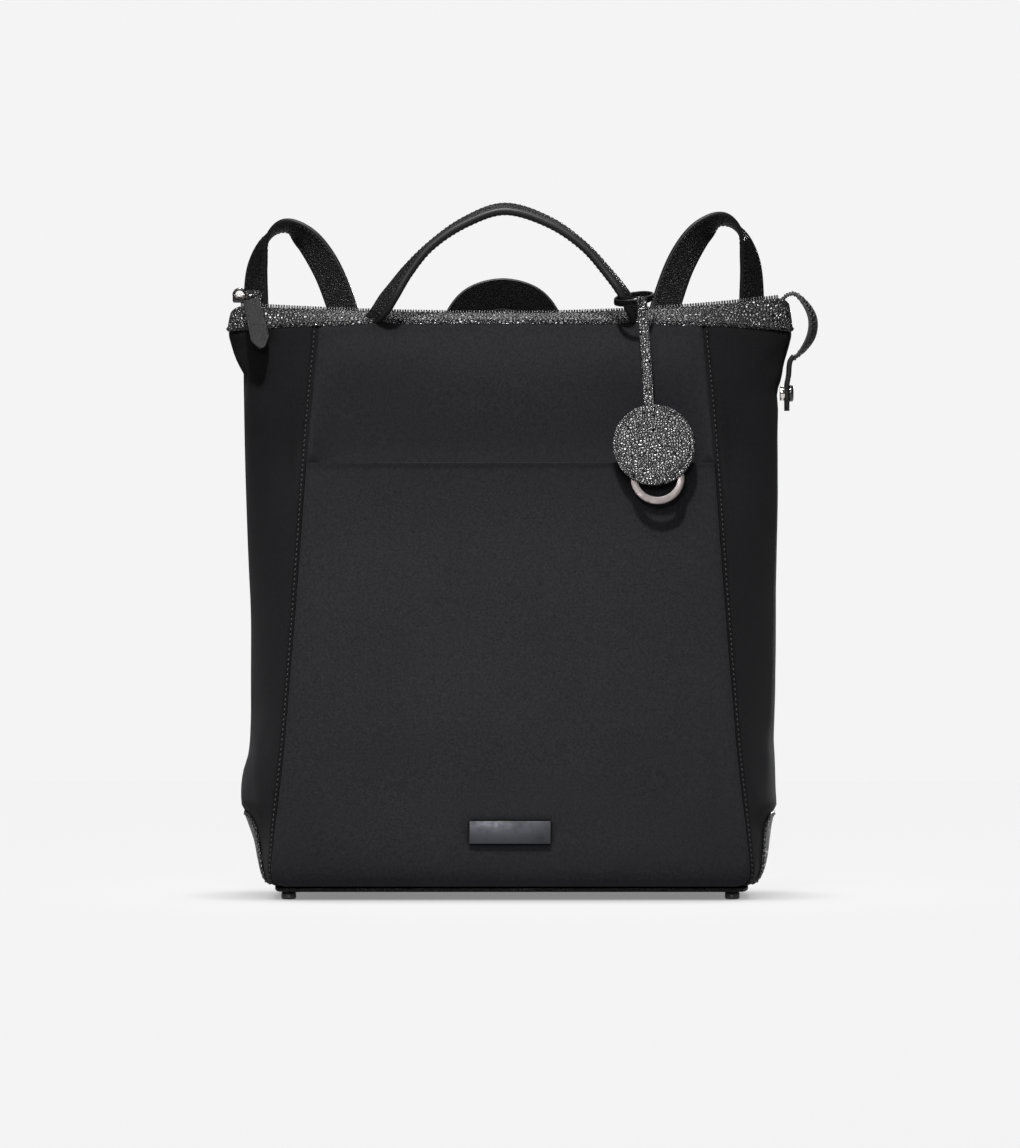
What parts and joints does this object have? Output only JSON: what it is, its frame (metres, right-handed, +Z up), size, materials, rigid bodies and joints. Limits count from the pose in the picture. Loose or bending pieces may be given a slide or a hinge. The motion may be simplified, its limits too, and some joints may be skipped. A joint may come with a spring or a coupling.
{
  "type": "neoprene backpack",
  "caption": "Slim zip-top backpack in neoprene with leather trim, a top handle, a front slip pocket, shoulder straps and base feet.",
  "frame": {"origin": "middle of the box round the bag, on the surface that it stands on", "axes": "+Z up, the front faces -Y, +X to the right of the front"},
  "size_m": [0.3644, 0.1518, 0.4289],
  "materials": {
    "neoprene": "matte knitted face",
    "pebbled_leather": "pebbled, semi-gloss",
    "smooth_leather": "fine grain, satin",
    "zip_tape": "woven",
    "zip_metal": "dark gunmetal teeth",
    "bright_metal": "polished",
    "snap_metal": "black enamel",
    "plate_metal": "satin dark grey",
    "foot_plastic": "matte"
  },
  "bodies": {
    "root": {"front_panel": "neoprene", "pocket_panel": "neoprene", "side_panel_left": "neoprene", "side_panel_right": "neoprene", "back_panel": "neoprene", "base_panel": "smooth_leather", "base_corner_left": "pebbled_leather", "base_corner_right": "pebbled_leather", "top_band_front": "pebbled_leather", "top_band_back": "pebbled_leather", "top_handle": "smooth_leather", "grab_loop": "pebbled_leather", "shoulder_strap_left": "pebbled_leather", "shoulder_strap_right": "pebbled_leather", "zip_tape": "zip_tape", "zip_chain": "zip_metal", "zip_tail": "zip_tape", "tail_tab": "smooth_leather", "tail_cap": "snap_metal", "tail_stud": "bright_metal", "zip_slider": "bright_metal", "pull_keeper": "pebbled_leather", "pull_tab": "smooth_leather", "nameplate": "plate_metal", "fob_strap": "pebbled_leather", "fob_disc": "pebbled_leather", "fob_backing": "smooth_leather", "fob_ring": "bright_metal", "foot_front_left": "foot_plastic", "foot_front_right": "foot_plastic", "foot_back_left": "foot_plastic", "foot_back_right": "foot_plastic"}
  },
  "joints": []
}
